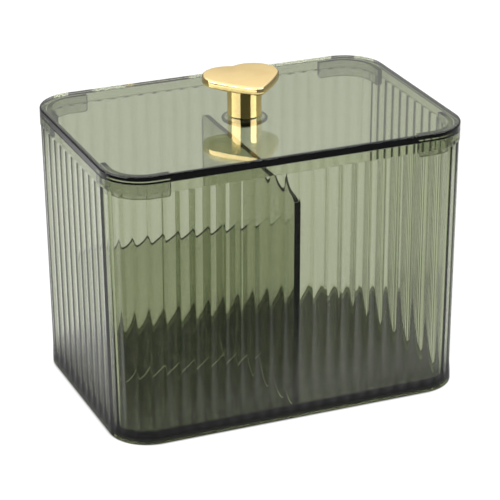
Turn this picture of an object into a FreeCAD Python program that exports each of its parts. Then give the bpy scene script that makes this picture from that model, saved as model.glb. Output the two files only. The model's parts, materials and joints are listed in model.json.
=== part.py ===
# Cotton swab holder: a transparent fluted tub with dividers and a loose lid with a heart-shaped knob.
# Millimetres, +Z up. The origin is the middle of the foot rim, on the surface the tub stands on;
# +X runs along the long side to the right and -Y is the front.
import FreeCAD
import Part
import Sketcher
import math
import os

# Driving dimensions: name, value and what it measures. Everything else follows from these.
DIMENSIONS = (
    ("TubLength", 141.0, "length over the rim"),
    ("TubWidth", 96.5, "width over the rim, front to back"),
    ("TubHeight", 103.0, "height of the tub without its lid"),
    ("RimRadius", 16.0, "corner radius of the rim in plan"),
    ("WallThickness", 2.4, "wall between the flute ridges and the well"),
    ("WallTaper", 1.4, "how far each wall leans in from the band to the foot"),
    ("BandHeight", 3.6, "smooth upright band under the rim"),
    ("FootBand", 2.0, "smooth band below the flutes"),
    ("FootRecess", 1.5, "depth of the recessed underside"),
    ("FootRim", 3.0, "width of the rim that the tub stands on"),
    ("FootBevel", 0.6, "bevel of the outer foot edge"),
    ("FloorThickness", 2.5, "floor plate above the recess"),
    ("WellBevel", 1.2, "slanted fillet between the floor and the walls"),
    ("LongPitch", 5.75, "nominal spacing of the flutes on the long walls and round the corners"),
    ("ShortPitch", 6.45, "nominal spacing of the flutes on the short walls"),
    ("FluteDepth", 0.55, "depth of a flute below the ridges"),
    ("FluteLand", 0.3, "flat left on a ridge between two flutes"),
    ("FluteRunOut", 0.4, "height over which a flute runs out at its ends"),
    ("FluteStop", 0.2, "plain strip between the flute tops and the band"),
    ("DividerThickness", 2.0, "thickness of both divider plates"),
    ("MainDividerDrop", 14.5, "top of the front-to-back plate below the rim"),
    ("CrossDividerDrop", 43.0, "top of the left-hand cross plate below the rim"),
    ("DividerRound", 3.5, "rounding of the upper corners of the plates"),
    ("DividerRelief", 0.3, "gap between the plates' lower corners and that fillet"),
    ("LidThickness", 3.0, "thickness of the lid plate"),
    ("LidRound", 0.7, "rounding of the lid's upper edge"),
    ("LidBevel", 0.25, "bevel of the lid's lower edge"),
    ("TabDepth", 6.5, "how far the corner tabs reach into the tub"),
    ("TabThickness", 1.8, "thickness of a corner tab"),
    ("TabClearance", 0.4, "gap between a tab and the wall"),
    ("TabReach", 6.0, "straight leg of a tab beyond the corner arc"),
    ("TabRound", 1.2, "rounding of a tab's lower ends"),
    ("KnobX", -2.0, "knob axis from the middle, along the length"),
    ("KnobY", -1.3, "knob axis from the middle, along the width"),
    ("StemRadius", 6.4, "radius of the knob's post"),
    ("StemHeight", 11.9, "height of the post above the lid"),
    ("StemBevel", 0.3, "bevel round the foot of the post"),
    ("SpigotRadius", 3.0, "radius of the spigot that holds the heart"),
    ("SpigotHeight", 1.4, "height of that spigot"),
    ("SpigotClearance", 0.05, "gap round the spigot"),
    ("HeartThickness", 3.2, "thickness of the heart plate"),
    ("HeartTopBevel", 0.8, "bevel of the heart's upper edge"),
    ("HeartUnderBevel", 0.25, "bevel of the heart's lower edge"),
    ("LobeRadius", 9.8, "radius of the two lobes"),
    ("LobeSpacing", 9.9, "distance between the lobe centres"),
    ("LobeOffset", 3.7, "lobe centres behind the post's axis"),
    ("TipReach", 18.8, "lobe centres to the blunt tip"),
    ("TipWidth", 2.7, "width of the flat on the tip"),
    ("FlankRadius", 75.0, "radius of the slightly bowed flanks"),
    ("NotchRadius", 2.0, "rounding between the lobes"),
    ("WasherRadius", 8.65, "radius of the washer under the lid"),
    ("WasherThickness", 1.2, "thickness of the washer"),
    ("ScrewRadius", 1.95, "radius of the screw's shank"),
    ("ScrewReach", 7.0, "length of shank inside the post"),
    ("ScrewHeadRadius", 4.0, "radius of the pan head"),
    ("ScrewHeadHeight", 2.4, "height of the pan head"),
    ("ScrewHeadBevel", 1.1, "bevel of the pan head"),
    ("ThreadClearance", 0.1, "gap between shank and post"),
    ("HoleClearance", 0.25, "gap between shank and lid or washer"),
    ("BoreAllowance", 1.2, "free depth above the end of the shank"),
)

# How closely two lengths or volumes agree when an edge is looked up or a cut is tested.
CLOSE = 0.001

doc = FreeCAD.newDocument("CottonSwabHolder")
sheet = doc.addObject("Spreadsheet::Sheet", "Dimensions")
for row, (alias, number, note) in enumerate(DIMENSIONS, start=1):
    sheet.set(f"A{row}", alias)
    sheet.set(f"B{row}", str(number))
    sheet.setAlias(f"B{row}", alias)
    sheet.set(f"C{row}", note)
doc.recompute()


def dims(text):
    """An expression in which <Name> stands for the cell of that dimension."""
    return text.replace("<", "Dimensions.").replace(">", "")


def number_of(expression):
    """The present value of an expression, for the first placing of a sketch's points."""
    result = sheet.evalExpression(expression)
    return float(result.Value if hasattr(result, "Value") else result)


# Lengths that several pieces share, as expressions of the driving dimensions.
BAND_BOTTOM = dims("(<TubHeight> - <BandHeight>)")
SLOPE = dims("(<WallTaper> / (<TubHeight> - <BandHeight>))")
FLOOR_TOP = dims("(<FootRecess> + <FloorThickness>)")
LID_TOP = dims("(<TubHeight> + <LidThickness>)")
HEART_BOTTOM = dims("(<TubHeight> + <LidThickness> + <StemHeight>)")
WELL_RADIUS = dims("(<RimRadius> - <WallThickness>)")
LONG_STRAIGHT = dims("(<TubLength> - 2 * <RimRadius>)")
SHORT_STRAIGHT = dims("(<TubWidth> - 2 * <RimRadius>)")
LONG_STEPS = dims(f"round({LONG_STRAIGHT} / <LongPitch>)")
SHORT_STEPS = dims(f"round({SHORT_STRAIGHT} / <ShortPitch>)")
CORNER_STEPS = dims("round(pi / 2 * <RimRadius> / <LongPitch> - 0.5)")
HOLE_RADIUS = dims("(<ScrewRadius> + <HoleClearance>)")


def well_half(full_size, height):
    """Half of the well's length or width at a height: the well leans in at the slope of the walls."""
    return dims(f"({full_size} / 2 - <WallThickness> - (<TubHeight> - {height}) * {SLOPE})")


def new_body(label, place=("0", "0", "0")):
    """A piece of the holder, whose own origin stands at a place given by expressions."""
    body = doc.addObject("PartDesign::Body", label)
    body.Label = label
    for axis, expression in zip("xyz", place):
        if expression != "0":
            body.setExpression(f"Placement.Base.{axis}", expression)
    return body


def origin_feature(body, role):
    return next(feature for feature in body.Origin.OriginFeatures if feature.Role == role)


def new_sketch(body, name, role, place=("0", "0", "0"), lean=None):
    """A sketch on one of its own body's origin planes, moved and leaned within that plane by expressions."""
    sketch = body.newObject("Sketcher::SketchObject", name)
    sketch.AttachmentSupport = [(origin_feature(body, role), "")]
    sketch.MapMode = "FlatFace"
    for axis, expression in zip("xyz", place):
        if expression != "0":
            sketch.setExpression(f"AttachmentOffset.Base.{axis}", expression)
    if lean is not None:
        sketch.setExpression("AttachmentOffset.Rotation.Angle", lean)
    doc.recompute()
    return sketch


def size(sketch, kind, arguments, name, expression):
    """Add a dimension to a sketch and tie it to an expression."""
    index = sketch.addConstraint(Sketcher.Constraint(kind, *arguments, number_of(expression)))
    sketch.renameConstraint(index, name)
    sketch.setExpression(f"Constraints.{name}", expression)


def polygon(sketch, points):
    """A closed outline whose corners are (x, y) expressions."""
    spots = [FreeCAD.Vector(number_of(x), number_of(y), 0) for x, y in points]
    count = len(spots)
    for index in range(count):
        sketch.addGeometry(Part.LineSegment(spots[index], spots[(index + 1) % count]), False)
    for index in range(count):
        sketch.addConstraint(Sketcher.Constraint("Coincident", index, 2, (index + 1) % count, 1))
    for index, (x, y) in enumerate(points):
        size(sketch, "DistanceX", (-1, 1, index, 1), f"X{index}", x)
        size(sketch, "DistanceY", (-1, 1, index, 1), f"Y{index}", y)


def circle(sketch, radius):
    """A circle about the sketch's origin."""
    centre = FreeCAD.Vector(0, 0, 0)
    index = sketch.addGeometry(Part.Circle(centre, FreeCAD.Vector(0, 0, 1), number_of(radius)), False)
    sketch.addConstraint(Sketcher.Constraint("Coincident", index, 3, -1, 1))
    size(sketch, "Radius", (index,), f"Radius{index}", radius)


def arc(centre, radius, start, end):
    """A counter-clockwise arc between two directions in degrees."""
    full = Part.Circle(FreeCAD.Vector(centre[0], centre[1], 0), FreeCAD.Vector(0, 0, 1), radius)
    return Part.ArcOfCircle(full, math.radians(start), math.radians(end))


def rounded_rectangle(sketch, length, width, radius):
    """A rectangle about the sketch's origin, with four equal corner arcs."""
    half_x = number_of(length) / 2
    half_y = number_of(width) / 2
    corner = number_of(radius)
    inner_x = half_x - corner
    inner_y = half_y - corner
    sides = (
        ((-inner_x, -half_y), (inner_x, -half_y)),
        ((half_x, -inner_y), (half_x, inner_y)),
        ((inner_x, half_y), (-inner_x, half_y)),
        ((-half_x, inner_y), (-half_x, -inner_y)),
    )
    centres = ((inner_x, -inner_y), (inner_x, inner_y), (-inner_x, inner_y), (-inner_x, -inner_y))
    for index, (start, end) in enumerate(sides):
        sketch.addGeometry(Part.LineSegment(FreeCAD.Vector(*start, 0), FreeCAD.Vector(*end, 0)), False)
        sketch.addGeometry(arc(centres[index], corner, 90 * index - 90, 90 * index), False)
    for side in (0, 2, 4, 6):
        direction = "Horizontal" if side in (0, 4) else "Vertical"
        sketch.addConstraint(Sketcher.Constraint("Tangent", side, 2, side + 1, 1))
        sketch.addConstraint(Sketcher.Constraint("Tangent", side + 1, 2, (side + 2) % 8, 1))
        sketch.addConstraint(Sketcher.Constraint(direction, side))
        if side:
            sketch.addConstraint(Sketcher.Constraint("Equal", 1, side + 1))
    sketch.addConstraint(Sketcher.Constraint("Symmetric", 1, 3, 5, 3, -1, 1))
    size(sketch, "Radius", (1,), "Corner", radius)
    size(sketch, "DistanceX", (6, 1, 2, 1), "Length", length)
    size(sketch, "DistanceY", (0, 1, 4, 1), "Width", width)


def pad(body, sketch, name, length, downward=False, centred=False, taper=None):
    feature = body.newObject("PartDesign::Pad", name)
    feature.Profile = sketch
    feature.setExpression("Length", length)
    feature.Reversed = downward
    feature.Midplane = centred
    if taper is not None:
        feature.setExpression("TaperAngle", taper)
    doc.recompute()
    return feature


def pocket(body, sketch, name, depth, upward=False, taper=None):
    """Cut a sketch's outline into the body, and make sure that the cut took material away."""
    before = body.Shape.Volume
    feature = body.newObject("PartDesign::Pocket", name)
    feature.Profile = sketch
    feature.setExpression("Length", depth)
    feature.Reversed = upward
    if taper is not None:
        feature.setExpression("TaperAngle", taper)
    doc.recompute()
    if body.Shape.Volume > before - CLOSE:
        raise RuntimeError(f"{name} cuts nothing")
    return feature


def revolve(body, sketch, name, kind="PartDesign::Revolution"):
    """Turn a profile once round the sketch's upright axis, as material or as a cut."""
    feature = body.newObject(kind, name)
    feature.Profile = sketch
    feature.ReferenceAxis = (sketch, ["V_Axis"])
    feature.Angle = 360.0
    doc.recompute()
    return feature


def dress_edges(body, name, kind, amount, wanted):
    """Give the edges of the body for which wanted(edge) holds a Fillet or a Chamfer."""
    base = body.Tip
    names = [f"Edge{index}" for index, edge in enumerate(base.Shape.Edges, start=1) if wanted(edge)]
    if not names:
        raise RuntimeError(f"{name} finds no edge")
    feature = body.newObject(f"PartDesign::{kind}", name)
    feature.Base = (base, names)
    feature.setExpression("Radius" if kind == "Fillet" else "Size", amount)
    doc.recompute()
    return feature


def level(edge, height):
    """True if the whole edge lies at a height."""
    box = edge.BoundBox
    return abs(box.ZMin - height) < CLOSE and abs(box.ZMax - height) < CLOSE


def multi_transform(body, name, original, steps):
    """Repeat a feature: each step is a pattern or a mirror, applied to all copies so far."""
    whole = body.newObject("PartDesign::MultiTransform", name)
    whole.Originals = [original]
    made = []
    for kind, setup in steps:
        step = doc.addObject(f"PartDesign::{kind}", f"{name}{kind}")
        body.addObject(step)
        setup(step)
        made.append(step)
    whole.Transformations = made
    body.Tip = whole
    doc.recompute()
    return whole


def cutter_radius(pitch):
    """The radius of the round tool whose cut is as deep as a flute and leaves a land within a pitch."""
    half_width = dims(f"(({pitch} - <FluteLand>) / 2)")
    return dims(f"(({half_width} ^ 2 + <FluteDepth> ^ 2) / (2 * <FluteDepth>))")


def flute(body, name, role, full_size, pitch, along):
    """One scooped groove, cut by a round tool with pointed ends that lies along the leaning wall."""
    radius = cutter_radius(pitch)
    axis = dims(f"({full_size} / 2 - <WallTaper> + {radius} - <FluteDepth>)")
    sketch = new_sketch(body, f"{name}Profile", role, (axis, "0", along), f"-atan({SLOPE})")
    low = dims("(<FootBand> + <FluteRunOut>)")
    high = dims(f"({BAND_BOTTOM} - <FluteStop> - <FluteRunOut>)")
    point = dims(f"({radius} * <FluteRunOut> / <FluteDepth>)")
    profile = (
        ("0", f"({low} - {point})"),
        (radius, low),
        (radius, high),
        ("0", f"({high} + {point})"),
    )
    polygon(sketch, profile)
    return revolve(body, sketch, name, "PartDesign::Groove")


def mirror_across(body, role):
    def setup(step):
        step.MirrorPlane = (origin_feature(body, role), [""])
    return setup


def row_along(body, role, count, step_length):
    """A row of flutes along one straight wall."""
    def setup(step):
        step.Direction = (origin_feature(body, role), [""])
        step.setExpression("Occurrences", count)
        step.setExpression("Length", f"(({count} - 1) * {step_length})")
    return setup


def make_tub():
    body = new_body("tub")
    foot = new_sketch(body, "FootOutline", "XY_Plane")
    foot_length = dims("(<TubLength> - 2 * <WallTaper>)")
    foot_width = dims("(<TubWidth> - 2 * <WallTaper>)")
    rounded_rectangle(foot, foot_length, foot_width, dims("(<RimRadius> - <WallTaper>)"))
    pad(body, foot, "LeaningWalls", BAND_BOTTOM, taper=f"atan({SLOPE})")
    rim = new_sketch(body, "RimOutline", "XY_Plane", ("0", "0", BAND_BOTTOM))
    rounded_rectangle(rim, dims("<TubLength>"), dims("<TubWidth>"), dims("<RimRadius>"))
    pad(body, rim, "Band", dims("<BandHeight>"))
    dress_edges(body, "FootEdge", "Chamfer", dims("<FootBevel>"), lambda edge: level(edge, 0.0))

    # Flutes: a corner's row starts on the end of the long wall and stops half a step before the short one,
    # so a long wall's own row lies between two corner flutes and a short wall's row between two ridges.
    long_step = f"({LONG_STRAIGHT} / {LONG_STEPS})"
    short_step = f"({SHORT_STRAIGHT} / {SHORT_STEPS})"
    corner_axis = body.newObject("PartDesign::Line", "CornerAxis")
    corner_axis.setExpression("Placement.Base.x", f"{LONG_STRAIGHT} / 2")
    corner_axis.setExpression("Placement.Base.y", f"{SHORT_STRAIGHT} / 2")
    corner = flute(body, "CornerFlute", "YZ_Plane", "<TubWidth>", "<LongPitch>", f"({LONG_STRAIGHT} / 2)")

    def round_the_corner(step):
        step.Axis = (corner_axis, [""])
        step.Reversed = True
        step.setExpression("Angle", f"(90 * {CORNER_STEPS} / ({CORNER_STEPS} + 0.5))")
        step.setExpression("Occurrences", f"({CORNER_STEPS} + 1)")

    across_length = ("Mirrored", mirror_across(body, "YZ_Plane"))
    across_width = ("Mirrored", mirror_across(body, "XZ_Plane"))
    corner_turn = ("PolarPattern", round_the_corner)
    multi_transform(body, "CornerFlutes", corner, (corner_turn, across_length, across_width))
    back_start = f"({long_step} - {LONG_STRAIGHT} / 2)"
    back = flute(body, "BackFlute", "YZ_Plane", "<TubWidth>", "<LongPitch>", back_start)
    back_row = ("LinearPattern", row_along(body, "X_Axis", f"({LONG_STEPS} - 1)", long_step))
    multi_transform(body, "LongWallFlutes", back, (back_row, across_width))
    side_start = f"({SHORT_STRAIGHT} / 2 - {short_step} / 2)"
    side = flute(body, "SideFlute", "XZ_Plane", "<TubLength>", "<ShortPitch>", side_start)
    side_row = ("LinearPattern", row_along(body, "Y_Axis", SHORT_STEPS, short_step))
    multi_transform(body, "ShortWallFlutes", side, (side_row, across_length))

    well = new_sketch(body, "WellOutline", "XY_Plane", ("0", "0", dims("<TubHeight>")))
    well_length = dims("(<TubLength> - 2 * <WallThickness>)")
    well_width = dims("(<TubWidth> - 2 * <WallThickness>)")
    rounded_rectangle(well, well_length, well_width, WELL_RADIUS)
    pocket(body, well, "Well", dims(f"(<TubHeight> - {FLOOR_TOP})"), taper=f"-atan({SLOPE})")
    floor_height = number_of(FLOOR_TOP)
    floor_edge = dims("<WellBevel>")
    dress_edges(body, "WellFloorEdge", "Chamfer", floor_edge, lambda edge: level(edge, floor_height))
    recess = new_sketch(body, "RecessOutline", "XY_Plane")
    recess_length = dims(f"({foot_length} - 2 * <FootRim>)")
    recess_width = dims(f"({foot_width} - 2 * <FootRim>)")
    rounded_rectangle(recess, recess_length, recess_width, dims("(<RimRadius> - <WallTaper> - <FootRim>)"))
    pocket(body, recess, "FootRecess", dims("<FootRecess>"), upward=True)
    return body


def make_divider(label, role, ends, drop):
    """A plate across the well: ends gives its two ends at a height, drop how far its top is below the rim."""
    body = new_body(label)
    top = dims(f"(<TubHeight> - {drop})")
    outline = new_sketch(body, f"{label}_outline", role)
    near_low, far_low = ends(FLOOR_TOP)
    near_high, far_high = ends(top)
    polygon(outline, ((near_low, FLOOR_TOP), (far_low, FLOOR_TOP), (far_high, top), (near_high, top)))
    pad(body, outline, f"{label}_plate", dims("<DividerThickness>"), centred=True)
    thickness = number_of(dims("<DividerThickness>"))

    def at_a_wall(edge, height):
        """True for an edge through the plate, at a height, unless it stands in the middle of the well."""
        middle = edge.CenterOfMass
        return level(edge, height) and max(abs(middle.x), abs(middle.y)) > thickness > edge.Length - CLOSE

    top_height = number_of(top)
    floor_height = number_of(FLOOR_TOP)
    shoulder = dims("<DividerRound>")
    dress_edges(body, f"{label}_shoulders", "Fillet", shoulder, lambda edge: at_a_wall(edge, top_height))
    heel = dims("(<WellBevel> + <DividerRelief>)")
    dress_edges(body, f"{label}_heels", "Chamfer", heel, lambda edge: at_a_wall(edge, floor_height))
    return body


def make_main_divider():
    def ends(height):
        half = well_half(dims("<TubWidth>"), height)
        return f"(-{half})", half
    return make_divider("main_divider", "YZ_Plane", ends, "<MainDividerDrop>")


def make_cross_divider():
    def ends(height):
        return f"(-{well_half(dims('<TubLength>'), height)})", dims("(-<DividerThickness> / 2)")
    return make_divider("cross_divider", "XZ_Plane", ends, "<CrossDividerDrop>")


def tab_outline(sketch):
    """A bent strip about the centre of a rim corner: a quarter ring with a straight leg at each end."""
    outer = dims(f"({WELL_RADIUS} - <TabClearance>)")
    inner = dims(f"({WELL_RADIUS} - <TabClearance> - <TabThickness>)")
    large = number_of(outer)
    small = number_of(inner)
    reach = number_of(dims("<TabReach>"))
    back_leg = ((0, large), (-reach, large), (-reach, small), (0, small))
    side_leg = ((small, 0), (small, -reach), (large, -reach), (large, 0))
    sketch.addGeometry(arc((0, 0), large, 0, 90), False)
    sketch.addGeometry(arc((0, 0), small, 0, 90), False)
    for leg in (back_leg, side_leg):
        for start, end in zip(leg, leg[1:]):
            sketch.addGeometry(Part.LineSegment(FreeCAD.Vector(*start, 0), FreeCAD.Vector(*end, 0)), False)
    for ring in (0, 1):
        sketch.addConstraint(Sketcher.Constraint("Coincident", ring, 3, -1, 1))
    for ring, ring_end, line, line_end in ((0, 2, 2, 1), (1, 2, 4, 2), (1, 1, 5, 1), (0, 1, 7, 2)):
        sketch.addConstraint(Sketcher.Constraint("Tangent", ring, ring_end, line, line_end))
    for line in (2, 3, 5, 6):
        sketch.addConstraint(Sketcher.Constraint("Coincident", line, 2, line + 1, 1))
    for line in (2, 4, 6):
        sketch.addConstraint(Sketcher.Constraint("Horizontal", line))
    for line in (3, 5, 7):
        sketch.addConstraint(Sketcher.Constraint("Vertical", line))
    size(sketch, "Radius", (0,), "Outer", outer)
    size(sketch, "Radius", (1,), "Inner", inner)
    size(sketch, "DistanceX", (3, 1, -1, 1), "BackLeg", dims("<TabReach>"))
    size(sketch, "DistanceY", (6, 1, -1, 1), "SideLeg", dims("<TabReach>"))


def make_lid():
    """The flat plate, in a frame of its own on the rim, with the screw's hole and four corner tabs."""
    body = new_body("lid", ("0", "0", dims("<TubHeight>")))
    outline = new_sketch(body, "LidOutline", "XY_Plane")
    rounded_rectangle(outline, dims("<TubLength>"), dims("<TubWidth>"), dims("<RimRadius>"))
    pad(body, outline, "Plate", dims("<LidThickness>"))
    upper = number_of(dims("<LidThickness>"))
    dress_edges(body, "UpperEdge", "Fillet", dims("<LidRound>"), lambda edge: level(edge, upper))
    dress_edges(body, "LowerEdge", "Chamfer", dims("<LidBevel>"), lambda edge: level(edge, 0.0))
    hole = new_sketch(body, "HoleOutline", "XY_Plane", (dims("<KnobX>"), dims("<KnobY>"), "0"))
    circle(hole, HOLE_RADIUS)
    pocket(body, hole, "ScrewHole", dims("<LidThickness>"), upward=True)

    corner = (f"({LONG_STRAIGHT} / 2)", f"({SHORT_STRAIGHT} / 2)", "0")
    tab = new_sketch(body, "TabOutline", "XY_Plane", corner)
    tab_outline(tab)
    first = pad(body, tab, "CornerTab", dims("<TabDepth>"), downward=True)
    across_length = ("Mirrored", mirror_across(body, "YZ_Plane"))
    across_width = ("Mirrored", mirror_across(body, "XZ_Plane"))
    multi_transform(body, "CornerTabs", first, (across_length, across_width))
    depth = number_of(dims("<TabDepth>"))
    thickness = number_of(dims("<TabThickness>"))

    def is_tab_end(edge):
        return level(edge, -depth) and abs(edge.Length - thickness) < CLOSE

    dress_edges(body, "TabEnds", "Fillet", dims("<TabRound>"), is_tab_end)
    return body


def make_knob_stem():
    """The post, with a blind bore for the screw below and a spigot for the heart above."""
    body = new_body("knob_stem", (dims("<KnobX>"), dims("<KnobY>"), LID_TOP))
    profile = new_sketch(body, "StemProfile", "XZ_Plane")
    bore = dims("(<ScrewRadius> + <ThreadClearance>)")
    bore_end = dims("(<ScrewReach> + <BoreAllowance>)")
    height = dims("<StemHeight>")
    spigot_top = dims("(<StemHeight> + <SpigotHeight>)")
    points = (
        (bore, "0"),
        (dims("(<StemRadius> - <StemBevel>)"), "0"),
        (dims("<StemRadius>"), dims("<StemBevel>")),
        (dims("<StemRadius>"), height),
        (dims("<SpigotRadius>"), height),
        (dims("<SpigotRadius>"), spigot_top),
        ("0", spigot_top),
        ("0", bore_end),
        (bore, bore_end),
    )
    polygon(profile, points)
    revolve(body, profile, "Post")
    return body


def bearing(start, end):
    """The direction in degrees from one point to another."""
    return math.degrees(math.atan2(end[1] - start[1], end[0] - start[0]))


def heart_outline(sketch):
    """Two lobes with a rounded notch between them, and bowed flanks that run to a blunt tip."""
    lobe_radius = number_of(dims("<LobeRadius>"))
    notch_radius = number_of(dims("<NotchRadius>"))
    flank_radius = number_of(dims("<FlankRadius>"))
    tip_height = dims("(<LobeOffset> - <TipReach>)")
    lobe = (number_of(dims("<LobeSpacing>")) / 2, number_of(dims("<LobeOffset>")))
    tip = (number_of(dims("<TipWidth>")) / 2, number_of(tip_height))
    notch = (0.0, lobe[1] + math.sqrt((lobe_radius + notch_radius) ** 2 - lobe[0] ** 2))
    # The right flank's centre is one flank radius from the tip and touches the lobe from outside it.
    span = math.dist(tip, lobe)
    inside = flank_radius - lobe_radius
    along = (flank_radius ** 2 - inside ** 2 + span ** 2) / (2 * span)
    aside = math.sqrt(flank_radius ** 2 - along ** 2)
    run = ((lobe[0] - tip[0]) / span, (lobe[1] - tip[1]) / span)
    centre = (tip[0] + along * run[0] - aside * run[1], tip[1] + along * run[1] + aside * run[0])
    touch = bearing(centre, lobe)
    crest = bearing(lobe, notch)
    foot = bearing(centre, tip)
    lobe_right, lobe_left, hollow, flank_right, flank_left, tip_flat = range(6)
    sketch.addGeometry(arc(lobe, lobe_radius, touch, crest), False)
    sketch.addGeometry(arc((-lobe[0], lobe[1]), lobe_radius, 180 - crest, 180 - touch), False)
    sketch.addGeometry(arc(notch, notch_radius, 360 - crest, 180 + crest), False)
    sketch.addGeometry(arc(centre, flank_radius, foot, touch), False)
    sketch.addGeometry(arc((-centre[0], centre[1]), flank_radius, 180 - touch, 180 - foot), False)
    tip_ends = (FreeCAD.Vector(-tip[0], tip[1], 0), FreeCAD.Vector(tip[0], tip[1], 0))
    sketch.addGeometry(Part.LineSegment(*tip_ends), False)
    smooth = (
        (lobe_right, 2, hollow, 2),
        (lobe_left, 1, hollow, 1),
        (lobe_right, 1, flank_right, 2),
        (lobe_left, 2, flank_left, 1),
    )
    for joint in smooth:
        sketch.addConstraint(Sketcher.Constraint("Tangent", *joint))
    sketch.addConstraint(Sketcher.Constraint("Coincident", tip_flat, 2, flank_right, 1))
    sketch.addConstraint(Sketcher.Constraint("Coincident", tip_flat, 1, flank_left, 2))
    sketch.addConstraint(Sketcher.Constraint("Symmetric", lobe_left, 3, lobe_right, 3, -2))
    sketch.addConstraint(Sketcher.Constraint("Symmetric", tip_flat, 1, tip_flat, 2, -2))
    sketch.addConstraint(Sketcher.Constraint("Equal", lobe_right, lobe_left))
    sketch.addConstraint(Sketcher.Constraint("Equal", flank_right, flank_left))
    size(sketch, "Radius", (lobe_right,), "Lobe", dims("<LobeRadius>"))
    size(sketch, "Radius", (hollow,), "Notch", dims("<NotchRadius>"))
    size(sketch, "Radius", (flank_right,), "Flank", dims("<FlankRadius>"))
    size(sketch, "DistanceX", (lobe_left, 3, lobe_right, 3), "Spacing", dims("<LobeSpacing>"))
    size(sketch, "DistanceY", (-1, 1, lobe_right, 3), "Offset", dims("<LobeOffset>"))
    size(sketch, "DistanceX", (tip_flat, 1, tip_flat, 2), "TipFlat", dims("<TipWidth>"))
    size(sketch, "DistanceY", (-1, 1, tip_flat, 2), "TipHeight", tip_height)


def make_knob_heart():
    body = new_body("knob_heart", (dims("<KnobX>"), dims("<KnobY>"), HEART_BOTTOM))
    outline = new_sketch(body, "HeartOutline", "XY_Plane")
    heart_outline(outline)
    pad(body, outline, "Heart", dims("<HeartThickness>"))
    upper = number_of(dims("<HeartThickness>"))
    dress_edges(body, "TopEdge", "Chamfer", dims("<HeartTopBevel>"), lambda edge: level(edge, upper))
    dress_edges(body, "UnderEdge", "Chamfer", dims("<HeartUnderBevel>"), lambda edge: level(edge, 0.0))
    socket = new_sketch(body, "SocketOutline", "XY_Plane")
    circle(socket, dims("(<SpigotRadius> + <SpigotClearance>)"))
    pocket(body, socket, "Socket", dims("(<SpigotHeight> + <SpigotClearance>)"), upward=True)
    return body


def make_knob_washer():
    body = new_body("knob_washer", (dims("<KnobX>"), dims("<KnobY>"), dims("<TubHeight>")))
    ring = new_sketch(body, "RingOutline", "XY_Plane")
    circle(ring, dims("<WasherRadius>"))
    circle(ring, HOLE_RADIUS)
    pad(body, ring, "Ring", dims("<WasherThickness>"), downward=True)
    return body


def make_knob_screw():
    """The pan-head screw, in a frame of its own where its head bears on the washer."""
    seat = dims("(<TubHeight> - <WasherThickness>)")
    body = new_body("knob_screw", (dims("<KnobX>"), dims("<KnobY>"), seat))
    profile = new_sketch(body, "ScrewProfile", "XZ_Plane")
    head_bottom = dims("(-<ScrewHeadHeight>)")
    shank_end = dims("(<WasherThickness> + <LidThickness> + <ScrewReach>)")
    points = (
        ("0", head_bottom),
        (dims("(<ScrewHeadRadius> - <ScrewHeadBevel>)"), head_bottom),
        (dims("<ScrewHeadRadius>"), dims("(<ScrewHeadBevel> - <ScrewHeadHeight>)")),
        (dims("<ScrewHeadRadius>"), "0"),
        (dims("<ScrewRadius>"), "0"),
        (dims("<ScrewRadius>"), shank_end),
        ("0", shank_end),
    )
    polygon(profile, points)
    revolve(body, profile, "HeadAndShank")
    return body


PIECES = (
    make_tub,
    make_main_divider,
    make_cross_divider,
    make_lid,
    make_knob_stem,
    make_knob_heart,
    make_knob_washer,
    make_knob_screw,
)
bodies = [make() for make in PIECES]
doc.recompute()

for item in doc.Objects:
    if "Invalid" in item.State or "Error" in item.State:
        raise RuntimeError(f"{item.Name} did not build: {item.State}")
for body in bodies:
    if body.Shape.isNull() or not body.Shape.isValid() or len(body.Shape.Solids) != 1:
        raise RuntimeError(f"{body.Label} is not one sound solid")

os.makedirs("parts", exist_ok=True)
for body in bodies:
    body.Shape.exportStep(f"parts/{body.Label}.step")
    box = body.Shape.optimalBoundingBox()
    corners = (box.XMin, box.XMax, box.YMin, box.YMax, box.ZMin, box.ZMax)
    print(f"{body.Label}: {body.Shape.Volume / 1000:.2f} cm3, {[round(corner, 2) for corner in corners]}")
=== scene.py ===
# %% [markdown]
# A transparent fluted tub with a loose lid and a gold knob.
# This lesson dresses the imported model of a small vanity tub: tinted plastic you look right through,
# scooped flutes all round it, and a polished heart-shaped knob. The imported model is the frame. Every piece
# below takes its place and its size from that frame, and none of them moves it.

# %% Load the frame
import json
import math

import bmesh
import bpy
from mathutils import Matrix, Vector

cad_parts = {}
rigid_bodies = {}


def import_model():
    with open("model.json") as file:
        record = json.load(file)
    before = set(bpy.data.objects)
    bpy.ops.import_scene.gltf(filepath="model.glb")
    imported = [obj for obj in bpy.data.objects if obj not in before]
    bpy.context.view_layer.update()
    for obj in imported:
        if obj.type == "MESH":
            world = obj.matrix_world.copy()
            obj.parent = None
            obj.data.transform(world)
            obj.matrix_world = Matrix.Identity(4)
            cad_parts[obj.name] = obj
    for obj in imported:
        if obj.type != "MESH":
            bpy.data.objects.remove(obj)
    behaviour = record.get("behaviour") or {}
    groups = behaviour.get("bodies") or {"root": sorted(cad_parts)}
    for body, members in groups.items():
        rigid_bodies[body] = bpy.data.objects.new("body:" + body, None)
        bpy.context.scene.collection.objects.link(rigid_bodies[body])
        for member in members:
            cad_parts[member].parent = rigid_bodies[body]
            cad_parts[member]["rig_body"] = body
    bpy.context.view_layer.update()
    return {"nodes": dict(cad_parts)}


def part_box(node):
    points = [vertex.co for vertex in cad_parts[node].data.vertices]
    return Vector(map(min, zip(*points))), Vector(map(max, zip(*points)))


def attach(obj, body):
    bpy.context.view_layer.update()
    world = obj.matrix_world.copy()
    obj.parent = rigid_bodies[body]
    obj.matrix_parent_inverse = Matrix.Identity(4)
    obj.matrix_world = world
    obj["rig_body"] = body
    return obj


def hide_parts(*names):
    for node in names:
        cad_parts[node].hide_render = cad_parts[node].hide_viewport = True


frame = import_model()
MM = 0.001

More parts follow.
